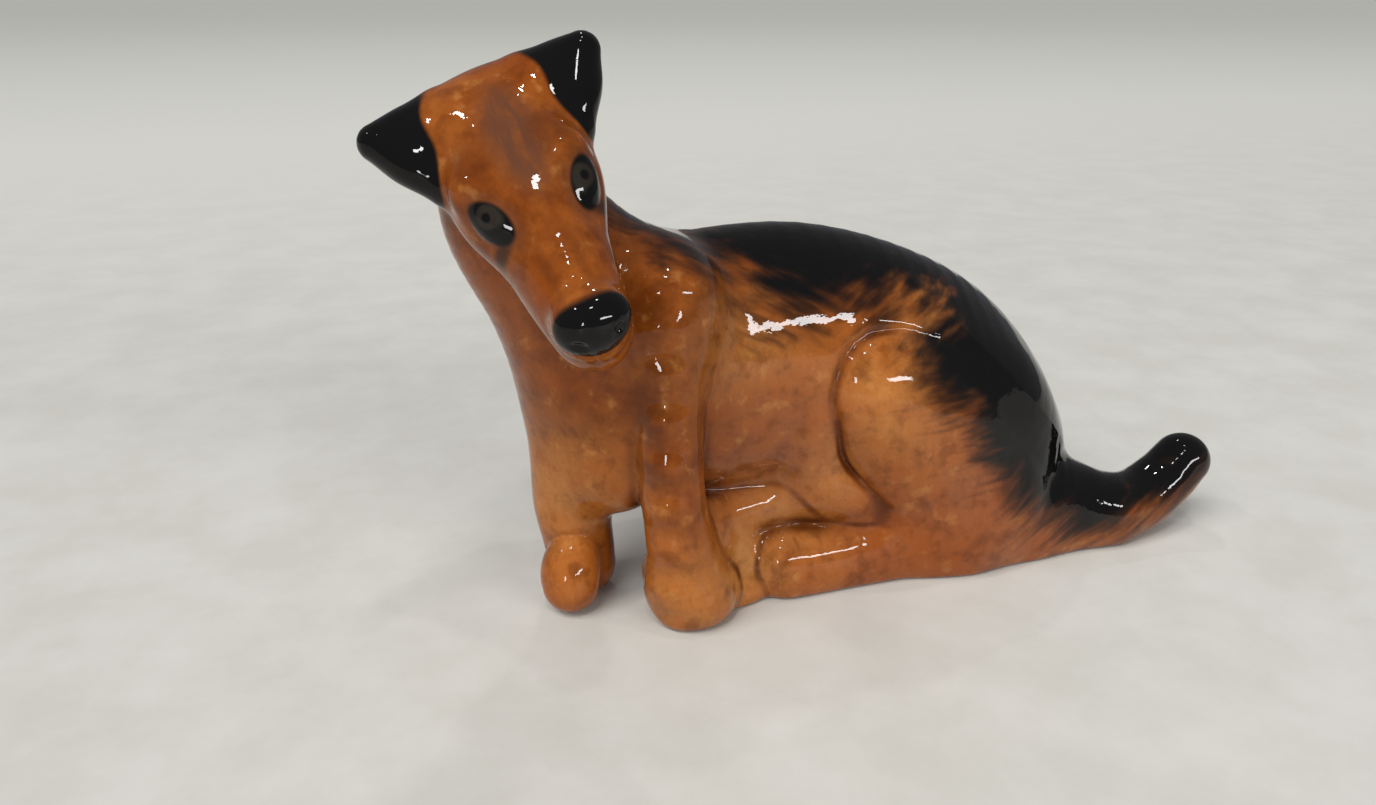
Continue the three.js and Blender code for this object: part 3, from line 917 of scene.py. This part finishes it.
def tan_ground(n, place):
    """The uneven tan under everything else and the fine grain that also varies its roughness, with painted
    shade in the hollows and a dark line in the folds, partly pooled glaze and partly painted shade.
    """
    broad = n.noise(place, 0.10, 3.0)
    cloud = n.noise(place, 0.30, 4.0, 0.6)
    brushed = n.noise(n.stretched(place, 0.25, (1.1, 1.1, 3.2)), 1.0, 4.0, 0.7)
    blotch = n.noise(place, 0.4, 3.0, 0.55)
    grain = n.noise(place, 3.5, 3.0, 0.7)
    washes = n.add("ShaderNodeSeparateColor", n.field("washes", "Color")).outputs
    colour = n.mix(n.ramp(broad, 0.36, 0.64), TAN, TAN_RED)
    # The deep wash lays painted shade; the gold wash adds golden tone, painted highlight and floor
    # reflection.
    for share, tint in zip(washes, (TAN_DEEP_AND_SHADE, TAN_GOLD_AND_SHEEN, TAN_PINK)):
        uneven = n.math("MULTIPLY", share, n.ramp(cloud, 0.3, 0.62, 0.55, 1.15))
        colour = n.mix(uneven, colour, tint)
    colour = n.mix(n.ramp(cloud, 0.50, 0.72, 0.0, 0.5), colour, UMBER_AND_SHADE)
    colour = n.mix(n.ramp(brushed, 0.42, 0.72, 0.0, 0.2), colour, TAN_DEEP_AND_SHADE)
    colour = n.mix(n.ramp(blotch, 0.52, 0.70, 0.0, 0.4), colour, UMBER_AND_SHADE)
    colour = n.mix(n.ramp(blotch, 0.42, 0.26, 0.0, 0.4), colour, TAN_GOLD_AND_SHEEN)
    colour = n.mix(n.ramp(grain, 0.35, 0.72, 0.0, 0.15), colour, TAN_DEEP_AND_SHADE)
    # Painted shade in the hollows: darker where clay lies just outside the skin.
    colour = n.mix(n.ramp(n.field("hollow_shade"), 0.1, 1.0, 0.0, 0.85), colour, UMBER_AND_SHADE)
    # A dark line along the crisp folds: partly glaze pooled in them, partly painted shade.
    fold = n.math("MULTIPLY", n.ramp(n.field("crease"), 0.8, 0.1), n.ramp(cloud, 0.35, 0.65, 0.4, 1.0))
    return n.mix(fold, colour, UMBER_AND_SHADE), grain


def glaze(name):
    """Painted tan, face and saddle under a clear, hard coat that ripples slightly."""
    material = bpy.data.materials.new(name)
    n = Nodes(material)
    place = n.field("place", "Vector")
    colour, grain = tan_ground(n, place)
    colour = paint_face(n, colour)
    colour = paint_eyes(n, colour)
    colour = paint_saddle(n, colour, place)
    for field in ("ear", "nose"):
        colour = n.mix(n.ramp(n.field(field), -0.12, 0.12), colour, BLACK)

    ripple = n.noise(place, 0.25, 2.0)
    orange_peel = n.noise(place, 0.9, 2.0)
    relief = n.math("MULTIPLY_ADD", orange_peel, 0.2, ripple)
    bump = n.add("ShaderNodeBump", 1.0, GLAZE_RELIEF)
    n.feed(bump.inputs["Height"], relief)
    rough = n.ramp(grain, 0.3, 0.7, GLAZE_ROUGHNESS - ROUGHNESS_SPREAD, GLAZE_ROUGHNESS + ROUGHNESS_SPREAD)

    shader = n.add("ShaderNodeBsdfPrincipled")
    n.feed(shader.inputs["Base Color"], colour)
    n.feed(shader.inputs["Roughness"], rough)
    n.feed(shader.inputs["Specular IOR Level"], 0.0)
    n.feed(shader.inputs["Coat Weight"], 1.0)
    n.feed(shader.inputs["Coat Roughness"], COAT_ROUGHNESS)
    n.feed(shader.inputs["Coat IOR"], COAT_IOR)
    n.feed(shader.inputs["Normal"], bump.outputs[0])
    n.feed(shader.inputs["Coat Normal"], bump.outputs[0])
    n.finish(shader)
    return material


# ---- Stage: floor, light and camera ----

FLOOR_REACH = 12.0
FLOOR_ROUGHNESS = 0.55
FLOOR_DULL = linear(196, 194, 186)
FLOOR_PALE = linear(206, 204, 197)
# Painted light: the floor is painted paler towards the back.
FLOOR_FAR_PAINTED_LIGHT = linear(218, 217, 209)

# Each lamp: its azimuth from the front towards +X, its elevation, its distance, its size and its watts.
LAMPS = {
    "window": (23, 20, 1.4, (0.75, 0.10), 8),
    "low_left": (-35, 12, 1.4, (0.11, 0.20), 2.2),
    "downlight_left": (-26, 62, 1.6, (0.15, 0.12), 2.6),
    "downlight_top": (20, 84, 1.6, (0.06, 0.06), 2),
    "downlight_back": (170, 60, 1.8, (0.08, 0.08), 2),
    "side_glow": (-88, 50, 1.5, (0.12, 0.08), 1.8),
}
# The height of the figure's middle above the floor, which the lamps aim at.
LAMP_AIM = 0.03
ROOM_COLOUR = (0.93, 0.95, 1.0, 1)
ROOM_STRENGTH = 0.2
SKY_STRENGTH = 2.1
SKY_SPREAD = math.radians(36)
SKY_TILT = math.radians(40)
SKY_HEADING = math.radians(-58)

CAMERA_AT = np.array([-54.5, -109.2, 68.0])
CAMERA_DIP = math.radians(21.5)
CAMERA_HEADING = math.radians(-19)
CAMERA_LENS = 27.47
CAMERA_SENSOR = 36.0
CAMERA_NEAR_CLIP = 0.005


def place_in_scene(name, data, location, turn):
    holder = bpy.data.objects.new(name, data)
    holder.location = location
    holder.rotation_euler = turn
    bpy.context.scene.collection.objects.link(holder)
    return holder


def make_floor():
    mesh = bpy.data.meshes.new("floor")
    r = FLOOR_REACH
    mesh.from_pydata([(-r, -r, 0), (r, -r, 0), (r, r, 0), (-r, r, 0)], [], [(0, 1, 2, 3)])
    floor = place_in_scene("floor", mesh, (0, 0, 0), (0, 0, 0))
    material = bpy.data.materials.new("pale_counter")
    n = Nodes(material)
    place = n.add("ShaderNodeTexCoord").outputs["Object"]
    tone = n.noise(place, 60.0, 5.0, 0.65)
    clouded = n.mix(n.ramp(tone, 0.3, 0.7), FLOOR_DULL, FLOOR_PALE)
    # Painted light: paler towards the back of the floor.
    depth = n.add("ShaderNodeSeparateXYZ", place).outputs["Y"]
    shader = n.add("ShaderNodeBsdfPrincipled", n.mix(n.ramp(depth, 0.02, 0.5), clouded, FLOOR_FAR_PAINTED_LIGHT))
    shader.inputs["Roughness"].default_value = FLOOR_ROUGHNESS
    n.finish(shader)
    mesh.materials.append(material)


def make_lamp(name, azimuth, elevation, distance, size, watts):
    """A rectangular lamp aimed at the figure's middle."""
    light = bpy.data.lights.new(name, "AREA")
    light.shape = "RECTANGLE"
    light.size, light.size_y = size
    light.energy = watts
    turn = math.radians(azimuth)
    rise = math.radians(elevation)
    level = distance * math.cos(rise)
    location = (level * math.sin(turn), -level * math.cos(turn), distance * math.sin(rise) + LAMP_AIM)
    place_in_scene(name, light, location, (math.pi / 2 - rise, 0, turn))


def make_lights():
    world = bpy.data.worlds.new("room")
    bpy.context.scene.world = world
    world.use_nodes = True
    background = world.node_tree.nodes["Background"]
    background.inputs["Color"].default_value = ROOM_COLOUR
    background.inputs["Strength"].default_value = ROOM_STRENGTH
    for name, settings in LAMPS.items():
        make_lamp(name, *settings)
    sky = bpy.data.lights.new("soft_sky", "SUN")
    sky.angle = SKY_SPREAD
    sky.energy = SKY_STRENGTH
    holder = place_in_scene("soft_sky", sky, (0, 0, 0), (SKY_TILT, 0, SKY_HEADING))
    holder.visible_glossy = False


def make_camera(shift):
    camera = bpy.data.cameras.new("camera")
    camera.lens = CAMERA_LENS
    camera.sensor_width = CAMERA_SENSOR
    camera.clip_start = CAMERA_NEAR_CLIP
    turn = (math.pi / 2 - CAMERA_DIP, 0, CAMERA_HEADING)
    bpy.context.scene.camera = place_in_scene("camera", camera, (CAMERA_AT + shift) * MM, turn)
    bpy.context.scene.view_settings.view_transform = "Standard"


pieces, shift = make_figure()
materials = {slot: glaze(slot) for slot in sorted(set(SLOTS.values()))}
for name, piece in pieces.items():
    piece.data.materials.append(materials[SLOTS[name]])
    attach(piece, "root")
    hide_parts(name)
make_floor()
make_lights()
make_camera(shift)
